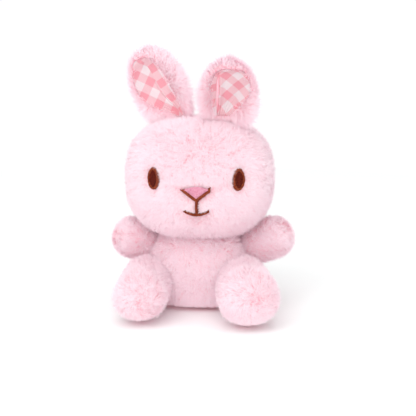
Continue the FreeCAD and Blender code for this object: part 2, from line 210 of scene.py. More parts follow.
head_skin = bun(
    "head_skin", head_at, head_radii - Vector((1, 1, 1)) * (pile_deep + 0.0008), 2.4, 44
)
plump(head_skin, 0.006, 0.0012)
# the crown is fuller than the jaw
for vert in head_skin.data.vertices:
    off = vert.co - head_at
    high = max(0.0, off.z / head_radii.z)
    vert.co.x += off.x * 0.16 * high * high * (0.95 if off.x > 0 else 1.25)
# the neck seam draws the underside in, and cheeks stand a little forward of it
for vert in head_skin.data.vertices:
    below = max(0.0, (head_at.z - 0.030 - vert.co.z) / 0.02)
    vert.co.z += 0.004 * min(1.0, below) ** 2 * max(0.0, 1 - (vert.co.xy - Vector((0, 0.002))).length / 0.034)


def put(node, sockets):
    """Fills a node's sockets: a link where another socket is given, else a plain value."""
    for label, value in sockets.items():
        if isinstance(value, bpy.types.NodeSocket):
            node.id_data.links.new(value, node.inputs[label])
        else:
            node.inputs[label].default_value = value


def adder(tree):
    """What adds a node to a tree, with its settings and what goes into its sockets."""

    def add(kind, sockets=None, **settings):
        node = tree.nodes.new(kind)
        for label, value in settings.items():
            setattr(node, label, value)
        put(node, sockets or {})
        return node

    return add


def sums(add):
    """Arithmetic on links and plain numbers."""

    def work(operation, *terms):
        return add("ShaderNodeMath", dict(enumerate(terms)), operation=operation).outputs[0]

    return work


def node_group(name, kind, inputs, outputs):
    """A node group. Each named socket is given as its type, or as a number it starts from."""
    group = bpy.data.node_groups.new(name, kind)
    for way, sockets in (("INPUT", inputs), ("OUTPUT", outputs)):
        for label, what in sockets.items():
            is_number = not isinstance(what, str)
            socket_type = "NodeSocketFloat" if is_number else "NodeSocket" + what
            socket = group.interface.new_socket(label, in_out=way, socket_type=socket_type)
            if is_number:
                socket.default_value = what
    given, out = group.nodes.new("NodeGroupInput"), group.nodes.new("NodeGroupOutput")
    return group, given.outputs, out, adder(group)


def shader(name, **values):
    """A material whose even numbers sit on the Principled shader's own sockets."""
    material = bpy.data.materials.new(name)
    material.use_nodes = True
    surface = material.node_tree.nodes["Principled BSDF"]
    put(surface, {label.replace("_", " ").title(): value for label, value in values.items()})
    return material, surface, adder(material.node_tree)


# the pile's colour: deeper pink towards the roots, which is painted shade down in the pile, pale at the tips,
# each strand its own tone
pile_colour, given, out, add = node_group(
    "pile_colour",
    "ShaderNodeTree",
    {"Tone": "Float", "Up": "Float", "Root": "Color", "Tip": "Color", "Deep": "Color"},
    {"Color": "Color"},
)
climb = add(
    "ShaderNodeMapRange",
    {"From Min": 0.05, "From Max": 0.62, "Value": given["Up"]},
    interpolation_type="SMOOTHSTEP",
)
body = add(
    "ShaderNodeMix",
    {"Factor": climb.outputs["Result"], "A": given["Root"], "B": given["Tip"]},
    data_type="RGBA",
)
# low tone leans to the deeper pink: random from strand to strand, and painted shade where the ears' pale
# value is low
own = add("ShaderNodeMapRange", {"From Min": 0.42, "From Max": 0.0, "To Max": 0.75, "Value": given["Tone"]})
toned = add(
    "ShaderNodeMix",
    {"Factor": own.outputs["Result"], "A": body.outputs["Result"], "B": given["Deep"]},
    data_type="RGBA",
)
put(out, {"Color": toned.outputs["Result"]})

# the pile's map runs tone across and root to tip upwards, so its picture is small
plush_pile, surface, add = shader("plush_pile", roughness=0.85, sheen_weight=0.25, sheen_roughness=0.5)
strand_map = add("ShaderNodeUVMap", uv_map="OFBake")
strand_parts = add("ShaderNodeSeparateXYZ", {"Vector": strand_map.outputs["UV"]})
dye = add(
    "ShaderNodeGroup",
    {
        "Tone": strand_parts.outputs["X"],
        "Up": strand_parts.outputs["Y"],
        # painted shade: the roots' deeper pink stands for the shade down among the strands
        "Root": (0.97, 0.60, 0.675, 1),
        "Tip": (0.975, 0.85, 0.90, 1),
        "Deep": (0.97, 0.70, 0.775, 1),
    },
    node_tree=pile_colour,
)
put(
    surface,
    {"Sheen Tint": (1.0, 0.93, 0.96, 1), "Specular IOR Level": 0.25, "Base Color": dye.outputs["Color"]},
)

# the knit backing: small even loops, seen only where the pile parts
plush_backing, surface, add = shader("plush_backing", roughness=0.95)
place = add("ShaderNodeTexCoord")
loops = add("ShaderNodeTexVoronoi", {"Scale": 1400, "Vector": place.outputs["Object"]})
loop_tone = add(
    "ShaderNodeMix",
    {"A": (0.96, 0.58, 0.66, 1), "B": (0.97, 0.68, 0.75, 1), "Factor": loops.outputs["Distance"]},
    data_type="RGBA",
)
loop_bump = add("ShaderNodeBump", {"Distance": 0.0002, "Height": loops.outputs["Distance"]})
put(surface, {"Base Color": loop_tone.outputs["Result"], "Normal": loop_bump.outputs["Normal"]})


def strand(name, lean, sway):
    """One strand of pile, a unit long: a step and a point, bowed over."""
    sides = []
    for up, half in ((0.0, 0.5), (0.52, 0.42)):
        x, y = lean * up**1.8, sway * up * up
        z = up - 0.34 * lean * up * up
        sides += [(x, y - half, z, up), (x, y + half, z, up)]
    sides.append((lean, sway, 1 - 0.34 * lean, 1.0))
    mesh = bpy.data.meshes.new(name)
    mesh.from_pydata([s[:3] for s in sides], [], [(0, 1, 3, 2), (2, 3, 4)])
    mesh.materials.append(plush_pile)
    up = mesh.attributes.new("up", "FLOAT", "POINT")
    up.data.foreach_set("value", [s[3] for s in sides])
    return bpy.data.objects.new(name, mesh)


strands = bpy.data.collections.new("strands")
bpy.context.scene.collection.children.link(strands)
for number, (lean, sway) in enumerate(((0.55, 0.04), (0.75, -0.10), (0.95, 0.08), (0.62, -0.03))):
    strands.objects.link(strand("strand_%d" % number, lean, sway))


def pile_tree():
    """Strands of pile over a cloth: gathered in small locks and lying along the nap."""
    tree, given, out, add = node_group(
        "pile_on_cloth",
        "GeometryNodeTree",
        {
            "Cloth": "Geometry",
            "Strands per m2": 5.0e6,
            "Pile height": 0.006,
            "Strand width": 0.00032,
            "Lock size": 0.0042,
            "Gather": 0.26,
            "Wander": 0.30,
            "Nap": 0.5,
            "Seed": "Int",
            "Strands": "Collection",
            "Finish": "Material",
        },
        {"Pile": "Geometry"},
    )
    maths = sums(add)

    def attribute(name, kind="FLOAT"):
        return add("GeometryNodeInputNamedAttribute", {"Name": name}, data_type=kind).outputs["Attribute"]

    def vectors(operation, a, b=None, scale=None):
        sockets = {0: a, 1: b, "Scale": scale}
        node = add(
            "ShaderNodeVectorMath", {k: v for k, v in sockets.items() if v is not None}, operation=operation
        )
        return node.outputs["Value" if operation == "DOT_PRODUCT" else 0]

    def chance(low, high, salt):
        sockets = {2: low, 3: high, "Seed": salt}
        return add("FunctionNodeRandomValue", sockets, data_type="FLOAT").outputs[1]

    def chance_way(spread, salt):
        sockets = {0: (-spread,) * 3, 1: (spread,) * 3, "Seed": salt}
        return add("FunctionNodeRandomValue", sockets, data_type="FLOAT_VECTOR").outputs["Value"]

    scatter = add(
        "GeometryNodeDistributePointsOnFaces",
        {
            "Mesh": given["Cloth"],
            "Density": maths("MULTIPLY", attribute("cover"), given["Strands per m2"]),
            "Seed": given["Seed"],
        },
        distribute_method="RANDOM",
    )
    where = add("GeometryNodeInputPosition").outputs[0]

    # locks: each strand leans towards the middle of its own small cell
    cells = add("ShaderNodeTexVoronoi", {"Vector": where, "Scale": maths("DIVIDE", 1.0, given["Lock size"])})
    to_lock = vectors("SUBTRACT", cells.outputs["Position"], where)
    to_lock = vectors("SCALE", to_lock, scale=maths("DIVIDE", given["Gather"], given["Lock size"]))
    drift = add("ShaderNodeTexNoise", {"Vector": where, "Scale": maths("DIVIDE", 0.30, given["Lock size"])})
    wander = vectors("SUBTRACT", drift.outputs["Color"], (0.5, 0.5, 0.5))
    wander = vectors("SCALE", wander, scale=maths("MULTIPLY", given["Wander"], 3.0))
    nap = vectors("SCALE", attribute("nap", "FLOAT_VECTOR"), scale=given["Nap"])
    lay = vectors("ADD", vectors("ADD", to_lock, wander), vectors("ADD", nap, chance_way(0.3, 5)))
    # only the part of the lay that runs along the cloth counts
    keep = add("GeometryNodeCaptureAttribute")
    keep.capture_items.new("VECTOR", "Normal")
    put(keep, {"Geometry": scatter.outputs["Points"], "Normal": scatter.outputs["Normal"]})
    up = keep.outputs["Normal"]
    lay = vectors("SUBTRACT", lay, vectors("SCALE", up, scale=vectors("DOT_PRODUCT", lay, up)))

    stand = add(
        "FunctionNodeAlignRotationToVector",
        {"Vector": vectors("ADD", up, vectors("SCALE", lay, scale=0.8))},
        axis="Z",
    )
    bow = add(
        "FunctionNodeAlignRotationToVector",
        {"Rotation": stand.outputs[0], "Vector": vectors("ADD", lay, chance_way(0.25, 9))},
        axis="X",
        pivot_axis="Z",
    )
    tall = maths("MULTIPLY", given["Pile height"], attribute("length"))
    tall = maths("MULTIPLY", tall, chance(0.72, 1.15, 2))
    broad = maths("MULTIPLY", given["Strand width"], chance(0.75, 1.2, 3))
    size = add("ShaderNodeCombineXYZ", {"X": tall, "Y": broad, "Z": tall})

    # tone: a little from the strand, a little from its lock, a little from the cloth
    lock_tone = add("FunctionNodeSeparateColor", {0: cells.outputs["Color"]}).outputs[0]
    cloth_tone = add("ShaderNodeTexNoise", {"Scale": 55, "Vector": where}).outputs[0]
    tone = maths("ADD", maths("MULTIPLY", chance(0.0, 1.0, 4), 0.34), maths("MULTIPLY", lock_tone, 0.26))
    tone = maths("ADD", tone, maths("MULTIPLY", cloth_tone, 0.46))
    # on the ears the pale value is low beside the lining's seam and at the root: painted shade there, as
    # deeper pink
    tone = maths("MULTIPLY", tone, attribute("pale"))
    mark = add(
        "GeometryNodeStoreNamedAttribute",
        {"Name": "tone", "Geometry": keep.outputs["Geometry"], "Value": tone},
        data_type="FLOAT",
        domain="POINT",
    )
    kinds = add(
        "GeometryNodeCollectionInfo",
        {"Separate Children": True, "Reset Children": True, "Collection": given["Strands"]},
    )
    plant = add(
        "GeometryNodeInstanceOnPoints",
        {
            "Pick Instance": True,
            "Points": mark.outputs["Geometry"],
            "Instance": kinds.outputs[0],
            "Rotation": bow.outputs[0],
            "Scale": size.outputs[0],
        },
    )
    real = add("GeometryNodeRealizeInstances", {0: plant.outputs[0]})
    map_at = add("ShaderNodeCombineXYZ", {"X": attribute("tone"), "Y": attribute("up")})
    finish_tree(add, out, "Pile", real.outputs[0], "OFBake", map_at.outputs[0], given["Finish"])
    return tree


def finish_tree(add, out, label, made, map_name, map_at, material):
    """The end of a tree: the mesh gets its map, smooth shading and its material."""
    mapped = add(
        "GeometryNodeStoreNamedAttribute",
        {"Name": map_name, "Geometry": made, "Value": map_at},
        data_type="FLOAT2",
        domain="CORNER",
    )
    smooth = add("GeometryNodeSetShadeSmooth", {"Geometry": mapped.outputs["Geometry"]})
    real = add("GeometryNodeRealizeInstances", {0: smooth.outputs[0]})
    finish = add("GeometryNodeSetMaterial", {"Geometry": real.outputs[0], "Material": material})
    put(out, {label: finish.outputs[0]})


pile_on_cloth = pile_tree()


def run_tree(name, source, tree, **inputs):
    """Runs a tree on a mesh and keeps what it makes as a plain mesh of its own."""
    work = new_object(name + "_work", source)
    modifier = work.modifiers.new("made", "NODES")
    modifier.node_group = tree
    for item in tree.interface.items_tree:
        if item.in_out == "INPUT" and item.name.replace(" ", "_") in inputs:
            modifier[item.identifier] = inputs[item.name.replace(" ", "_")]
    bpy.context.view_layer.update()
    seen = bpy.context.evaluated_depsgraph_get()
    made = bpy.data.meshes.new_from_object(
        work.evaluated_get(seen), preserve_all_data_layers=True, depsgraph=seen
    )
    work.modifiers.clear()
    bpy.data.objects.remove(work)
    made.name = name
    return new_object(name, made)


def grow_pile(
    name, skin, nap, seed, panel=None, thick=1.0, height=0.0062, cover=None, length=None, pale=None, **more
):
    """Plants pile on a skin, or on the faces of it that belong to one sewn panel."""
    cloth = bmesh.new()
    cloth.from_mesh(skin.data)
    others = [f for f in cloth.faces if panel and not panel(f.calc_center_median())]
    bmesh.ops.delete(cloth, geom=others, context="FACES")
    mesh = bpy.data.meshes.new(name + "_cloth")
    cloth.to_mesh(mesh)
    cloth.free()
    points = [v.co.copy() for v in mesh.vertices]
    ways = [v.normal.copy() for v in mesh.vertices]
    store = mesh.attributes.new("nap", "FLOAT_VECTOR", "POINT")
    store.data.foreach_set("vector", [c for p, n in zip(points, ways) for c in nap(p, n)])
    for label, rule in (("cover", cover), ("length", length), ("pale", pale)):
        store = mesh.attributes.new(label, "FLOAT", "POINT")
        store.data.foreach_set("value", [rule(p, n) if rule else 1.0 for p, n in zip(points, ways)])
    made = run_tree(
        name,
        mesh,
        pile_on_cloth,
        Strands_per_m2=5.0e6 * thick,
        Strand_width=0.00032,
        Pile_height=height,
        Seed=seed,
        Strands=strands,
        Finish=plush_pile,
        **more,
    )
    for spare in ("nap", "cover", "length", "pale", "tone", "up", "id"):
        if spare in made.data.attributes:
            made.data.attributes.remove(made.data.attributes[spare])
    # no strand passes through the floor: the toy's weight lays them flat
    for vert in made.data.vertices:
        if vert.co.z < 0.0004:
            vert.co.z = 0.0005
    return made


def ride_as(obj, body, slot, *nodes):
    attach(obj, body)
    if nodes:
        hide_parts(*nodes)


# where stitches lie on the face, the pile is left out or pressed short
eye_spots = [(-0.0300, 0.1040), (0.0315, 0.1040)]
nose_x, nose_z, nose_half, nose_tall = 0.0014, 0.0898, 0.0090, 0.0072
smile_z = 0.0782


def off_stitches(p):
    """How far a point of the face is outside the nearest stitching, in metres."""
    gaps = []
    for x, z in eye_spots:
        across, upright = (p.x - x) / 0.0038, (p.z - z) / 0.0074
        gaps.append((math.hypot(across, upright) - 1) * 0.0052)
    # the nose is a triangle, point down
    dx, dz = abs(p.x - nose_x), p.z - nose_z
    gaps.append(max(dz - 0.0100, (dx * 0.0076 - dz * 0.0098) / 0.0124 - 0.0013))
    gaps.append(max(dx - 0.0010, p.z - 0.091, 0.0785 - p.z))
    gaps.append(max(abs(p.z - smile_z - 34.0 * dx * dx) - 0.0011, dx - 0.0098))
    return min(gaps)


def face_cover(p, n):
    return 1.0 if p.y > head_at.y or off_stitches(p) > 0.0 else 0.0


def face_length(p, n):
    if p.y > head_at.y:
        return 1.0
    return 0.42 + 0.58 * min(1.0, max(0.0, off_stitches(p)) / 0.0055)


def face_nap(p, n):
    """The pile is brushed back over the crown, and down and outwards from the middle of the face."""
    high = min(1.0, max(0.0, (p.z - head_at.z - 0.018) / 0.02))
    if p.y > head_at.y + 0.01:
        return Vector((0, 0.2 + 0.7 * high, -0.8))
    push = Vector((0, 0, 0))
    for x, z in eye_spots + [(nose_x, 0.0945)]:
        away_from = Vector((p.x - x, 0, p.z - z))
        push += away_from.normalized() * 0.9 * math.exp(-((away_from.length / 0.012) ** 2))
    return Vector((26 * p.x * (1 - 0.5 * high), 0.9 * high, -0.6)) + push


for coat in (1, 2, 3, 4):
    pile = grow_pile(
        "head_pile_%d" % coat, head_skin, face_nap, 10 + coat, thick=0.26,
        cover=face_cover, length=face_length,
    )
    ride_as(pile, "head", "pink_plush")
head_skin.data.materials.append(plush_backing)
ride_as(
    head_skin,
    "head",
    "pink_plush",
    "head_face_panel",
    "head_back_left_panel",
    "head_back_right_panel",
    "head_stuffing",
)

# ---------------------------------------------------------------------------
# Stitched face: satin thread laid in close rows through the plush. Dark brown
# fills the eyes, a brown rope edges them, and the nose is pink with a brown V.
# ---------------------------------------------------------------------------
face_tree = BVHTree.FromObject(head_skin, bpy.context.evaluated_depsgraph_get())


def on_face(x, z, off):
    """The point of the face at x, z, raised off the backing by off."""
    hit, normal, _, _ = face_tree.ray_cast(Vector((x, -0.3, z)), Vector((0, 1, 0)))
    return hit + normal * off


def thread_tree():
    """Rows of thread: each line of points becomes a round stitch that dips at its ends."""
    tree, given, out, add = node_group(
        "satin_stitches",
        "GeometryNodeTree",
        {"Rows": "Geometry", "Thread radius": 0.0003, "Finish": "Material"},
        {"Stitches": "Geometry"},
    )

    def keep_share(curve, label):
        keep = add("GeometryNodeCaptureAttribute")
        keep.capture_items.new("FLOAT", label)
        share = add("GeometryNodeSplineParameter").outputs["Factor"]
        put(keep, {"Geometry": curve, label: share})
        return keep.outputs["Geometry"], keep.outputs[label]

    lines = add("GeometryNodeMeshToCurve", {"Mesh": given["Rows"]})
    line, along = keep_share(lines.outputs[0], "Along")
    ring = add("GeometryNodeCurvePrimitiveCircle", {"Resolution": 6, "Radius": given["Thread radius"]})
    section, around = keep_share(ring.outputs[0], "Round")
    tube = add("GeometryNodeCurveToMesh", {"Fill Caps": True, "Curve": line, "Profile Curve": section})
    map_at = add("ShaderNodeCombineXYZ", {"X": around, "Y": along})
    finish_tree(add, out, "Stitches", tube.outputs[0], "thread", map_at.outputs[0], given["Finish"])
    return tree


satin_stitches = thread_tree()

# spun thread: fine plies that wind round it, and tone that drifts from row to row towards a painted
# highlight, the glint colour
thread_grain, given, out, add = node_group(
    "thread_grain",
    "ShaderNodeTree",
    {"Base": "Color", "Glint": "Color"},
    {"Color": "Color", "Height": "Float"},
)
place = add("ShaderNodeTexCoord")
drift = add("ShaderNodeTexNoise", {"Scale": 1300, "Detail": 3, "Vector": place.outputs["Object"]})
spread = add("ShaderNodeMapRange", {"From Min": 0.35, "From Max": 0.68, "Value": drift.outputs[0]})
tint = add(
    "ShaderNodeMix",
    {"Factor": spread.outputs["Result"], "A": given["Base"], "B": given["Glint"]},
    data_type="RGBA",
)
turns = add("ShaderNodeUVMap", uv_map="thread")
parts = add("ShaderNodeSeparateXYZ", {"Vector": turns.outputs["UV"]})
work = sums(add)
wind = work("MULTIPLY_ADD", parts.outputs["Y"], 18.0, parts.outputs["X"])
ply = work("SINE", work("MULTIPLY", wind, 12.566))
put(out, {"Color": tint.outputs["Result"], "Height": ply})


def thread_finish(name, base, painted_glint, rough=0.42):
    material, surface, add = shader(name, roughness=rough)
    grain = add("ShaderNodeGroup", {"Base": (*base, 1), "Glint": (*painted_glint, 1)}, node_tree=thread_grain)
    bump = add("ShaderNodeBump", {"Distance": 0.00004, "Height": grain.outputs["Height"]})
    put(
        surface,
        {"Specular IOR Level": 0.10, "Base Color": grain.outputs["Color"], "Normal": bump.outputs["Normal"]},
    )
    return material


# each thread's second colour is a painted highlight, laid in patches by the drifting noise
dark_thread = thread_finish("dark_brown_thread", (0.050, 0.003, 0.002), (0.19, 0.022, 0.010))
brown_thread = thread_finish("brown_thread", (0.105, 0.009, 0.004), (0.50, 0.12, 0.052), 0.4)
pink_thread = thread_finish("pink_thread", (0.74, 0.25, 0.38), (0.92, 0.50, 0.62))
pale_thread = thread_finish("pale_pink_thread", (0.80, 0.42, 0.52), (0.90, 0.58, 0.66))


def sew(name, rows, radius, finish):
    """One piece of embroidery from its rows, each row a list of points."""
    points, edges = [], []
    for row in rows:
        start = len(points)
        points += row
        edges += [(start + i, start + i + 1) for i in range(len(row) - 1)]
    mesh = bpy.data.meshes.new(name + "_rows")
    mesh.from_pydata([tuple(p) for p in points], edges, [])
    return run_tree(name, mesh, satin_stitches, Thread_radius=radius, Finish=finish)


def along_path(path, count, half, lift, slant=0.25, jitter=0.0, seed=1):
    """Short stitches laid side by side across a path on the face, as a satin rope."""
    dice = random.Random(seed)
    rows = []
    for i in range(count):
        share = (i + 0.5) / count
        x, z = path(share)
        ahead, behind = path(min(1, share + 0.01)), path(max(0, share - 0.01))
        run = Vector((ahead[0] - behind[0], ahead[1] - behind[1])).normalized()
        side = Vector((-run.y, run.x))
        row = []
        left = -half * (1 + jitter * dice.random())
        right = half * (1 + jitter * dice.random() ** 2)
        for step in range(5):
            t = left + (right - left) * step / 4
            arch = 1 - (2 * step / 4 - 1) ** 2
            at = Vector((x, z)) + side * t + run * t * slant
            row.append(on_face(at.x, at.y, lift * (0.35 + 0.65 * arch)))
        rows.append(row)
    return rows


stitch_base = 0.0022  # thread lies this far off the backing, down in the pile
for side, (x, z) in zip(("right", "left"), eye_spots):
    wide, tall = 0.0029, 0.0064
    dice = random.Random(3)
    rows = []
    row_count = 17
    for i in range(row_count):
        across = -wide + 2 * wide * (i + 0.5) / row_count
        reach = tall * math.sqrt(1 - (across / wide) ** 2 * 0.98) + 0.0003 * dice.random()
        ridge = 0.6 + 0.4 * math.cos(across * 2800)
        row = []
        for k in range(10):
            lift = stitch_base + 0.0003 + 0.0005 * (1 - abs(2 * k / 9 - 1) ** 4) * ridge
            row.append(on_face(x + across, z - reach + 2 * reach * k / 9, lift))
        rows.append(row)
    fill = sew("eye_%s_stitches" % side, rows, 0.00027, dark_thread)
    ride_as(fill, "head", "thread_dark_brown", "eye_%s_fill" % side)

    def round_eye(share):
        angle = 2 * math.pi * share
        return x + (wide + 0.0004) * math.sin(angle), z + (tall + 0.0004) * math.cos(angle)

    rope = sew(
        "eye_%s_rope" % side,
        along_path(round_eye, 72, 0.0008, stitch_base + 0.0013, 1.1, 0.45, 5),
        0.00034,
        brown_thread,
    )
    ride_as(rope, "head", "thread_brown", "eye_%s_border" % side)

# nose: pink rows across the triangle, under a soft arched top edge
rows = []
for i in range(40):
    x = -nose_half + 2 * nose_half * (i + 0.5) / 40
    low = nose_z + nose_tall * abs(x) / nose_half
    high = nose_z + nose_tall + 0.0024 * (1 - (x / nose_half) ** 2)
    row = []
    for k in range(7):
        lift = stitch_base + 0.0003 + 0.0006 * (1 - (k / 3 - 1) ** 2)
        row.append(on_face(nose_x + x + 0.0004 * (k - 3) / 3, low + (high - low) * k / 6, lift))
    rows.append(row)
nose = sew("nose_stitches", rows, 0.00029, pink_thread)
ride_as(nose, "head", "thread_pink", "nose_fill")


def nose_edge(share):
    t = 2 * share - 1
    return nose_x + (nose_half + 0.0012) * t, nose_z - 0.0004 + (nose_tall + 0.0007) * abs(t) ** 1.04


rows = along_path(nose_edge, 72, 0.0012, stitch_base + 0.0015, 0.9, 0.3, 7)
edge = sew("nose_v_rope", rows, 0.00034, brown_thread)
ride_as(edge, "head", "thread_brown", "nose_border")


def lip_line(share):
    return nose_x + 0.0002 * math.sin(9 * share), nose_z - 0.0008 - share * 0.0113


def smile_line(share):
    t = 2 * share - 1
    return nose_x + 0.0092 * t, smile_z + 0.0030 * t * t


# a few stitches of the upright line reach out unevenly on its left side
rows = along_path(lip_line, 26, 0.0007, stitch_base + 0.0010, 0.3, 0.5, 9)
rows += along_path(
    lambda share: (lip_line(share)[0] + 0.0009, lip_line(share)[1] + 0.0006),
    6, 0.0006, stitch_base + 0.0010, 0.5, 1.0, 4,
)
lip = sew("mouth_line_stitches", rows, 0.00030, brown_thread)
ride_as(lip, "head", "thread_brown", "mouth_line")
rows = along_path(smile_line, 50, 0.0007, stitch_base + 0.0010, 0.5, 0.4, 13)
smile = sew("mouth_smile_stitches", rows, 0.00027, brown_thread)
ride_as(smile, "head", "thread_brown", "mouth_smile")

# ---------------------------------------------------------------------------
# Arms and legs: plush tubes with rounded ends, stuffed and gathered at the
# root. A foot has no sole panel of its own: its pile swirls out from the middle.
# ---------------------------------------------------------------------------
def ring_faces(rings, around):
    """Faces of a closed skin made of a point, rings of points and a last point."""
    faces = []
    end = 1 + (rings - 1) * around
    for k in range(around):
        after = (k + 1) % around
        faces.append((0, 1 + after, 1 + k))
        for start in range(1, end, around):
            faces.append((start + k, start + after, start + around + after, start + around + k))
        faces.append((end + around, end + k, end + after))
    return faces


def closed_skin(name, points, faces):
    """A closed skin whose faces are turned outwards."""
    mesh = mesh_of(name, points, faces)
    form = bmesh.new()
    form.from_mesh(mesh)
    bmesh.ops.recalc_face_normals(form, faces=form.faces[:])
    form.to_mesh(mesh)
    form.free()
    return new_object(name, mesh)


def stuffed_limb(name, root, way, stations, around=48):
    """A limb turned about its own line from stations of distance and radius."""
    across = way.cross(Vector((0, 0, 1))).normalized()
    upward = across.cross(way).normalized()
    fine = []
    for i in range(len(stations) - 1):
        (s0, r0), (s1, r1) = stations[i], stations[i + 1]
        sa, ra = stations[max(i - 1, 0)]
        sb, rb = stations[min(i + 2, len(stations) - 1)]
        for k in range(6):
            t = k / 6
            pair = []
            for a, b, c, d in ((sa, s0, s1, sb), (ra, r0, r1, rb)):
                squared, cubed = 2 * a - 5 * b + 4 * c - d, 3 * b - 3 * c + d - a
                pair.append(0.5 * (2 * b + (c - a) * t + squared * t * t + cubed * t**3))
            fine.append(tuple(pair))
    fine = [(s, max(r, 0.0)) for s, r in fine][1:]
    points = [root + way * stations[0][0]]
    for s, r in fine:
        for k in range(around):
            angle = 2 * math.pi * k / around
            points.append(root + way * s + (across * math.cos(angle) + upward * math.sin(angle)) * r)
    points.append(root + way * stations[-1][0])
    return closed_skin(name, points, ring_faces(len(fine), around))


def round_end(reach, radius, blunt):
    """Stations of a rounded end: blunt is how long the rounding is."""
    turns = [math.radians(d) for d in (0, 30, 55, 75, 90)]
    return tuple((reach - blunt + blunt * math.sin(a), radius * math.cos(a)) for a in turns)


def round_root(radius, length):
    """Stations of a ball-like root, which turns in its place when the limb moves."""
    turns = [math.radians(d) for d in (0, 18, 40, 62)]
    return tuple((-length * math.cos(a), radius * math.sin(a)) for a in turns)


def inside(tree, p):
    """How far a point is inside a closed skin, in metres, negative outside."""
    near, normal, _, gap = tree.find_nearest(p)
    return gap if (p - near).dot(normal) < 0 else -gap


def skin_tree(skin):
    mesh = skin.data
    return BVHTree.FromPolygons([v.co for v in mesh.vertices], [tuple(p.vertices) for p in mesh.polygons])


def bare_where_buried(trees, cover=None):
    """No pile where a cloth lies well inside its neighbour."""

    def rule(p, n):
        if any(inside(tree, p) > 0.0024 for tree in trees):
            return 0.0
        return cover(p, n) if cover else 1.0

    return rule


def pressed(p, n):
    """Pile is full on top and at the sides, and flat where the toy sits on it."""
    return 1.0 if p.z > 0.012 else 0.25 + 0.75 * max(0.0, p.z - 0.003) / 0.009


seat_z = 0.0032  # the cloth's height where the toy sits on its pile
limb_skins = {}
for side, sign in (("left", 1), ("right", -1)):
    shoulder = Vector((0.038 * sign, -0.003, 0.0435))
    arm_way = Vector((0.92, -0.149, 0.445) if side == "left" else (-0.86, -0.32, 0.46)).normalized()
    arm_end = 0.0345 if side == "left" else 0.0295
    arm = stuffed_limb(
        "arm_%s_skin" % side,
        shoulder,
        arm_way,
        round_root(0.0100, 0.010) + ((0.002, 0.0112), (0.010, 0.0126)) + round_end(arm_end, 0.0132, 0.0130),
    )
    plump(arm, 0.004, 0.0008, held=lambda p: (p - shoulder).dot(arm_way) < 0)
    limb_skins["arm_" + side] = (arm, shoulder, arm_way, arm_end)

    # the right leg is stuffed a little less than the left, and points straighter ahead
    hip = Vector((0.0335 if side == "left" else -0.0375, -0.024, 0.0212))
    leg_way = Vector((0.175, -0.985, 0.025) if side == "left" else (-0.025, -0.985, -0.020)).normalized()
    thigh, foot, reach = (0.0182, 0.0190, 0.0620) if side == "left" else (0.0168, 0.0163, 0.0580)
    shin = ((0.001, thigh), (0.016, thigh * 0.975), (0.030, (thigh + foot) * 0.485))
    leg = stuffed_limb(
        "leg_%s_skin" % side,
        hip,
        leg_way,
        round_root(thigh * 0.97, 0.017) + shin + round_end(reach, foot, 0.0145),
    )
    plump(leg, 0.005, 0.001, held=lambda p: (p - hip).dot(leg_way) < 0)
    for vert in leg.data.vertices:
        if vert.co.z < seat_z:
            vert.co.z = seat_z - 0.1 * (seat_z - vert.co.z)
    leg.data.update()
    limb_skins["leg_" + side] = (leg, hip, leg_way, reach)

# ---------------------------------------------------------------------------
# Torso: a pear of the same plush, four panels round loose fibre with a pouch of
# pellets low in the seat. Its flat foot is what the toy sits on.
# ---------------------------------------------------------------------------
torso_at = Vector((0, -0.002, 0.024))
torso_radii = Vector((0.041, 0.038, 0.042))
torso_skin = bun("torso_skin", torso_at, torso_radii - Vector((1, 1, 1)) * (pile_deep + 0.0006), 2.5, 36)
plump(torso_skin, 0.005, 0.001)
inner_head = head_radii - Vector((1, 1, 1)) * (pile_deep + 0.001)
for vert in torso_skin.data.vertices:
    off = vert.co - torso_at
    # hips are the widest part, and the shoulders slope in to the neck
    vert.co.x += off.x * 0.13 * math.exp(-(((vert.co.z - 0.022) / 0.020) ** 2))
    if vert.co.z < seat_z:
        vert.co.z = seat_z
    off = vert.co - head_at
    depth = sum(abs(c / r) ** 2.4 for c, r in zip(off, inner_head))
    if depth < 1.0 and vert.co.z > 0.035:
        room = max(0.0, 1 - abs(off.x / inner_head.x) ** 2.4 - abs(off.y / inner_head.y) ** 2.4)
        vert.co.z = min(vert.co.z, max(0.040, head_at.z - inner_head.z * room ** (1 / 2.4) - 0.0005))
torso_skin.data.update()


def torso_nap(p, n):
    return Vector((p.x * 6, 0, -0.75)) if p.z > 0.004 else Vector((p.x, p.y, 0)).normalized() * 1.5


head_tree, torso_tree = skin_tree(head_skin), skin_tree(torso_skin)
limb_trees = {name: skin_tree(facts[0]) for name, facts in limb_skins.items()}
torso_cover = bare_where_buried(
    [head_tree] + list(limb_trees.values()), lambda p, n: 0.35 if p.z < 0.0036 else 1.0
)
for coat in (1, 2):
    pile = grow_pile(
        "torso_pile_%d" % coat, torso_skin, torso_nap, 20 + coat, thick=0.5,
        length=pressed, cover=torso_cover,
    )
    ride_as(pile, "torso", "pink_plush")
torso_skin.data.materials.append(plush_backing)
ride_as(
    torso_skin, "torso", "pink_plush", "torso_belly_panel", "torso_back_left_panel",
    "torso_back_right_panel", "torso_seat_panel", "torso_stuffing", "pellet_pouch", "pellets",
)

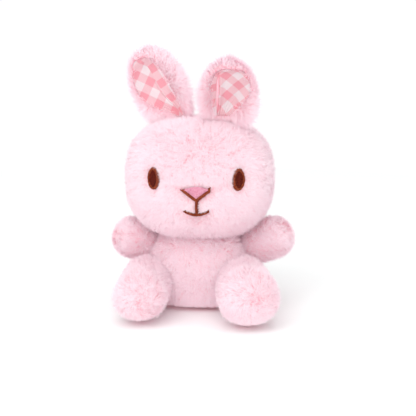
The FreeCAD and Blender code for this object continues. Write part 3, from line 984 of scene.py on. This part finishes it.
# ---------------------------------------------------------------------------
# Pile of the arms and legs: brushed towards the hands, back along the shins and
# round the middle of each sole.
# ---------------------------------------------------------------------------
for side, sign in (("left", 1), ("right", -1)):
    arm, shoulder, arm_way, arm_end = limb_skins["arm_" + side]

    def arm_nap(p, n):
        off = p - (shoulder + arm_way * arm_end)
        off -= arm_way * off.dot(arm_way)
        hand = max(0.0, min(1.0, ((p - shoulder).dot(arm_way) - arm_end + 0.008) / 0.006))
        swirl = arm_way.cross(off) * 0.6 / max(off.length, 0.004)
        return (arm_way * 0.8 + Vector((0, 0, -0.3))) * (1 - hand) + (swirl + off * 30) * hand

    above_torso = bare_where_buried([torso_tree])
    pile = grow_pile("arm_%s_pile" % side, arm, arm_nap, 31 + sign, cover=above_torso)
    ride_as(pile, "arm_" + side, "pink_plush")
    arm.data.materials.append(plush_backing)
    parts = ("upper_panel", "lower_panel", "stuffing")
    ride_as(arm, "arm_" + side, "pink_plush", *["arm_%s_%s" % (side, part) for part in parts])

    leg, hip, leg_way, reach = limb_skins["leg_" + side]

    def leg_nap(p, n):
        off = p - (hip + leg_way * reach)
        off -= leg_way * off.dot(leg_way)
        swirl = leg_way.cross(off) * 0.65 / max(off.length, 0.004)
        sole = max(0.0, min(1.0, ((p - hip).dot(leg_way) - reach + 0.016) / 0.012))
        out = off.normalized() * 0.75 * min(1.0, (off.length / 0.010) ** 2) if off.length > 0 else Vector()
        return (out + swirl) * sole + (Vector((0, 0, -0.5)) - leg_way * 0.3) * (1 - sole)

    for coat in (1, 2):
        pile = grow_pile(
            "leg_%s_pile_%d" % (side, coat), leg, leg_nap, 40 + 4 * coat + sign, thick=0.5,
            length=pressed, cover=above_torso,
        )
        ride_as(pile, "leg_" + side, "pink_plush")
    leg.data.materials.append(plush_backing)
    ride_as(leg, "leg_" + side, "pink_plush", *["leg_%s_%s" % (side, part) for part in parts])

# ---------------------------------------------------------------------------
# Tail: a small plush ball sewn low on the back.
# ---------------------------------------------------------------------------
tail_at = Vector((0, 0.043, 0.017))
tail_skin = bun("tail_ball_skin", tail_at, Vector((1, 1, 1)) * 0.0088, 2.1, 14)
pile = grow_pile(
    "tail_ball_pile", tail_skin, lambda p, n: Vector((0, 0.3, -0.2)), 51, panel=lambda c: c.y > 0.036
)
ride_as(pile, "torso", "pink_plush")
tail_skin.data.materials.append(plush_backing)
ride_as(tail_skin, "torso", "pink_plush", "tail_skin", "tail_stuffing")

# ---------------------------------------------------------------------------
# Ears: a thick plush petal, padded, whose rim rolls forward round a lining of
# quarter-inch gingham cotton. Both layers are pinched together at the root.
# ---------------------------------------------------------------------------
check_wide = 0.00635
yarn_pitch = 0.00042
gingham, surface, add = shader("gingham_cotton", roughness=0.9, sheen_weight=0.12)
work = sums(add)
cloth_map = add("ShaderNodeUVMap", uv_map="cut").outputs["UV"]
cut = add("ShaderNodeSeparateXYZ", {"Vector": cloth_map})
bands, yarns = [], []
for axis in ("X", "Y"):
    share = work("FRACT", work("DIVIDE", cut.outputs[axis], 2 * check_wide))
    # a band's edge is as soft as the one yarn that changes colour there
    wave = work("SINE", work("MULTIPLY", share, 2 * math.pi))
    band = add("ShaderNodeMapRange", {"From Min": -0.12, "From Max": 0.12, "Value": wave})
    bands.append(band.outputs["Result"])
    yarns.append(work("SINE", work("MULTIPLY", cut.outputs[axis], 2 * math.pi / yarn_pitch)))
dyed = work("MULTIPLY", work("ADD", *bands), 0.5)
weave = work("MULTIPLY", *yarns)
lint = add("ShaderNodeTexNoise", {"Scale": 900, "Vector": cloth_map})
uneven = work("ADD", work("MULTIPLY", weave, 0.10), work("MULTIPLY", lint.outputs[0], 0.22))
cotton = add(
    "ShaderNodeMix",
    {
        "A": (0.84, 0.74, 0.765, 1),
        "B": (0.84, 0.36, 0.42, 1),
        "Factor": work("MULTIPLY_ADD", uneven, 0.12, dyed),
    },
    data_type="RGBA",
)
weave_bump = add("ShaderNodeBump", {"Distance": 0.00006, "Height": weave})
put(
    surface,
    {
        "Specular IOR Level": 0.2,
        "Base Color": cotton.outputs["Result"],
        "Normal": weave_bump.outputs["Normal"],
    },
)


def ease(x, low, high):
    t = min(1.0, max(0.0, (x - low) / (high - low)))
    return t * t * (3 - 2 * t)


def petal(v, root, high=0.52):
    """Half the petal's width at height v, 1 at its widest: full at the root, round at the tip."""
    if v < high:
        return root + (1 - root) * math.sin(math.pi / 2 * v / high)
    return max(0.0, 1 - ((v - high) / (1 - high)) ** 2.3) ** 0.5


for side, sign, foot, tip, lean, wide, tall, lining_mid, lining_wide in (
    ("left", 1, Vector((0.0225, -0.0075, 0.1415)), 27, 2, 0.0185, 0.0532, 0.0014, 0.0148),
    ("right", -1, Vector((-0.0190, 0.0, 0.1430)), -2, -27, 0.0182, 0.0545, -0.0040, 0.0124),
):
    frame_of = (
        Matrix.Translation(foot)
        @ Matrix.Rotation(math.radians(lean), 4, "Y")
        @ Matrix.Rotation(math.radians(tip), 4, "X")
    )

    lining_low, lining_high = (0.075, 0.978) if side == "right" else (0.225, 0.968)

    def half_at(v):
        return wide * petal(v, 0.42)

    def bend(x, v):
        """How far the whole ear curves back (or, where negative, forward)."""
        u = x / wide
        cup = -0.0050 * u * u * (1.1 - 0.5 * v)
        if side == "right":
            cup -= 0.0040 * ease(u, 0.2, 1.0) * (1 - 0.4 * v)
        else:
            cup -= 0.0035 * ease(-u, 0.3, 1.0)
            # the tipped ear rolls forward again at its lower outer side
            cup -= 0.0055 * ease(u, 0.15, 0.9) * math.exp(-(((v - 0.12) / 0.30) ** 2))
        return cup - 0.003 * v * v + 0.002 * math.sin(math.pi * v)

    def lining_half(v):
        low, high = (0.06, 0.990) if side == "right" else (0.21, 0.980)
        shape = petal(min(1.0, max(0.0, (v - low) / (high - low))), 0.16 if side == "right" else 0.34, 0.56)
        return lining_wide * shape

    def lining_middle(v):
        # the lining runs to a pinch at the inner side of the root
        if side == "right":
            return lining_mid + 0.0090 * (1 - ease(v, 0.0, 0.55))
        return lining_mid - 0.0062 * (1 - ease(v, 0.15, 0.62))

    def front(x, v):
        """The front face of the padded petal: a rolled rim round a shallow dish."""
        u = max(-1.0, min(1.0, x / max(half_at(v), 1e-5)))
        dish_u = (x - lining_middle(v)) / max(lining_half(v), 1e-4)
        dish = 0.0050 * math.exp(-(abs(dish_u) / 1.02) ** 4)
        dish *= ease(v, lining_low - 0.04, lining_low + 0.16) * (1 - ease(v, 0.84, 0.985))
        return bend(x, v) - 0.0034 * math.sqrt(1 - u * u) + dish

    def pinch(v):
        # the root is pinched towards the middle of the head
        return sign * 0.0015 * (1 - ease(v, 0.0, 0.4))

    def ear_point(x, y, v):
        return frame_of @ Vector((x - pinch(v), y, -0.004 + v * (tall + 0.004)))

    # the padded petal: back and rolled rim in one closed skin
    pad_rows, pad_across = 56, 64
    points = [ear_point(0, front(0, 0) + 0.003, -0.02)]
    for j in range(pad_rows + 1):
        v = 0.992 * math.sin(math.pi / 2 * j / pad_rows) ** 0.9
        half = half_at(v)
        for i in range(pad_across):
            angle = 2 * math.pi * i / pad_across
            x = math.cos(angle) * half
            y = bend(x, v) + 0.0040 * math.sin(angle) if math.sin(angle) >= 0 else front(x, v)
            points.append(ear_point(x, y, v))
    points.append(ear_point(0, bend(0, 1.0), 1.0))
    ear_back = closed_skin("ear_%s_back_skin" % side, points, ring_faces(pad_rows + 1, pad_across))
    unframe = frame_of.inverted()

    def in_ear(p, n):
        """A point in the ear's own lie, its height there, and how far it faces back."""
        local = unframe @ p
        v = (local.z + 0.004) / (tall + 0.004)
        local.x += pinch(v)
        return local, v, (unframe.to_3x3() @ n).y

    def ear_cover(p, n):
        # the lining covers the middle of the front, and no pile stands under it
        local, v, facing = in_ear(p, n)
        out = abs(local.x - lining_middle(v)) / max(lining_half(v), 1e-4)
        return 0.0 if facing < 0.35 and out < 0.97 and lining_low < v < lining_high - 0.005 else 1.0

    def ear_nap(p, n):
        local, v, _ = in_ear(p, n)
        out = Vector((local.x - lining_middle(v), 0, (local.z - 0.024) * 0.8)).normalized()
        # on the back it is brushed up towards the tip
        back = min(1.0, max(0.0, (frame_of.to_3x3().inverted() @ n).y / 0.6))
        return frame_of.to_3x3() @ (out * (1 - back) + Vector((local.x * 14, 0, 0.8)) * back)

    def ear_length(p, n):
        # the pile is short beside the lining's seam and long on the rim
        local, v, facing = in_ear(p, n)
        out = abs(local.x - lining_middle(v)) - lining_half(v)
        return 1.0 if facing > 0.3 else 0.5 + 0.62 * ease(out, 0.0, 0.006)

    def ear_painted_shade(p, n):
        # painted shade: deeper pink beside the lining's seam and at the root, where shade gathers, paler out
        # on the rim
        local, v, facing = in_ear(p, n)
        out = abs(local.x - lining_middle(v)) - lining_half(v)
        rim = 1.0 if facing > 0.3 else ease(out, 0.0, 0.006)
        return 0.45 + 0.95 * rim * ease(v, -0.05, 0.3)

    pile = grow_pile(
        "ear_%s_pile" % side, ear_back, ear_nap, 61 + sign, thick=1.25, height=0.0087,
        cover=ear_cover, length=ear_length, pale=ear_painted_shade, Gather=0.24, Wander=0.14, Nap=0.75,
    )
    ride_as(pile, "ear_" + side, "pink_plush")
    ear_back.data.materials.append(plush_backing)
    ride_as(ear_back, "ear_" + side, "pink_plush", "ear_%s_back_panel" % side)

    # the lining: folded lengthwise, and gathered where it is pinched at the root
    fold_at = 0.30 if side == "right" else -0.66

    def lining_point(u, v):
        x = lining_middle(v) + u * lining_half(v)
        y = front(x, v) - 0.0006
        run = math.sin(math.pi * ease(v, 0.04, 0.96))
        if side == "right":
            # the inner third laps over the rest along a soft fold
            y -= 0.0013 * ease(u, fold_at - 0.16, fold_at) * (1 - 0.6 * ease(u, fold_at, 1.0)) * run
        else:
            # a deep crease near the inner edge, where the cloth is tucked under
            tuck = math.exp(-(((u - fold_at) / 0.050) ** 2)) * math.exp(-(((v - 0.42) / 0.26) ** 2))
            y += 0.0050 * tuck
            y -= 0.0018 * math.exp(-(((u - fold_at - 0.16) / 0.10) ** 2)) * run
        gathers = 0.0009 * math.sin(13 * u + 1.0) * (1 - ease(v, lining_low, 0.5))
        rumple = 0.0005 * math.sin(7 * u + 5 * v) * run
        return ear_point(x, y - abs(gathers) - rumple * 0.6, v)

    rows_up, rows_across = 64, 120
    points, cuts = [], []
    for j in range(rows_up + 1):
        v = lining_low + (lining_high - lining_low) * j / rows_up
        for i in range(rows_across + 1):
            u = -1 + 2 * i / rows_across
            points.append(lining_point(u, v))
            cuts.append((u * max(lining_half(v), 0.55 * lining_wide) + lining_middle(v), v * tall * 1.04))
    faces = []
    for j in range(rows_up):
        for i in range(rows_across):
            a, b = j * (rows_across + 1) + i, (j + 1) * (rows_across + 1) + i
            faces.append((a, a + 1, b + 1, b))
    mesh = mesh_of("ear_%s_gingham" % side, points, faces)
    store = mesh.uv_layers.new(name="cut")
    fold_column = round((fold_at + 1) / 2 * rows_across)
    turn_flat, turn_folded = (-38, -6) if side == "right" else (42, 14)
    for face in mesh.polygons:
        column = face.index % rows_across
        folded = column >= fold_column if side == "right" else column < fold_column
        turned = math.radians(turn_folded if folded else turn_flat)
        # painted shade: faces down in the tuck are picked out to be coloured darker
        tucked = side == "left" and abs(column + 0.5 - fold_column) < 4
        tucked = tucked and 0.18 < face.index / rows_across / rows_up < 0.8
        for corner in face.loop_indices:
            x, z = cuts[mesh.loops[corner].vertex_index]
            if tucked:
                # painted shade: the cloth inside the tuck is given one solid pink check, so the crease shows
                # darker
                store.data[corner].uv = (0.5 * check_wide + 0.05 * x, 0.5 * check_wide + 0.02 * z)
                continue
            store.data[corner].uv = (
                x * math.cos(turned) - z * math.sin(turned) + 0.2,
                x * math.sin(turned) + z * math.cos(turned) + 0.2,
            )
    mesh.materials.append(gingham)
    lining = new_object("ear_%s_gingham" % side, mesh)
    thick = lining.modifiers.new("cotton", "SOLIDIFY")
    thick.thickness, thick.offset = 0.0003, 0
    ride_as(lining, "ear_" + side, "gingham_cotton", "ear_%s_lining" % side)

    # the seam that binds the two layers: small stitches round the lining
    rim = []
    run = lining_high - lining_low - 0.02
    for k in range(33):
        rim.append((1.0, lining_low + 0.01 + run * k / 32))
    for k in range(1, 12):
        rim.append((1 - 2 * k / 12, lining_high - 0.008))
    for k in range(33):
        rim.append((-1.0, lining_high - 0.01 - run * k / 32))
    rows = []
    for (u0, v0), (u1, v1) in zip(rim, rim[1:]):
        for start in (0.0, 0.5):
            row = []
            for t in (0.06, 0.25, 0.44):
                u, v = u0 + (u1 - u0) * (start + t), v0 + (v1 - v0) * (start + t)
                x = lining_middle(v) + u * lining_half(v)
                row.append(ear_point(x, front(x, v) - 0.0008, v))
            rows.append(row)
    seam = sew("ear_%s_seam_stitches" % side, rows, 0.00022, pale_thread)
    ride_as(seam, "ear_" + side, "thread_pale_pink", "ear_%s_edge_seam" % side)

# ---------------------------------------------------------------------------
# Neck and back seams: strong thread in a ring that draws the head down on to
# the torso, and the ladder stitch that closed the back after stuffing.
# ---------------------------------------------------------------------------
neck_low, neck_high = (Vector(p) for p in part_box("neck_seam"))
ring_r, ring_z = neck_high.x - 0.0012, (neck_low.z + neck_high.z) / 2
rows = []
for k in range(72):
    a0, a1 = 2 * math.pi * k / 72, 2 * math.pi * (k + 1.4) / 72
    turns = ((a0, -0.0005), ((a0 + a1) / 2, 0.0002), (a1, 0.0006))
    rows.append([Vector((ring_r * math.cos(a), ring_r * math.sin(a), ring_z + dz)) for a, dz in turns])
ring = sew("neck_ring_stitches", rows, 0.0006, pale_thread)
ride_as(ring, "neck", "thread_pale_pink", "neck_seam")

rows = []
back_tree = BVHTree.FromObject(torso_skin, bpy.context.evaluated_depsgraph_get())
for k in range(9):
    z = 0.0315 + 0.0013 * k
    row = []
    for t in (-1, -0.4, 0.4, 1):
        hit, normal, _, _ = back_tree.ray_cast(Vector((0.0011 * t, 0.3, z + 0.0004 * t)), Vector((0, -1, 0)))
        row.append(hit + normal * (0.0006 - 0.0003 * abs(t)))
    rows.append(row)
ladder = sew("closing_ladder_stitches", rows, 0.00022, pale_thread)
ride_as(ladder, "torso", "thread_pale_pink", "torso_closing_seam")

for part in list(strands.objects):
    bpy.data.objects.remove(part)
bpy.data.collections.remove(strands)
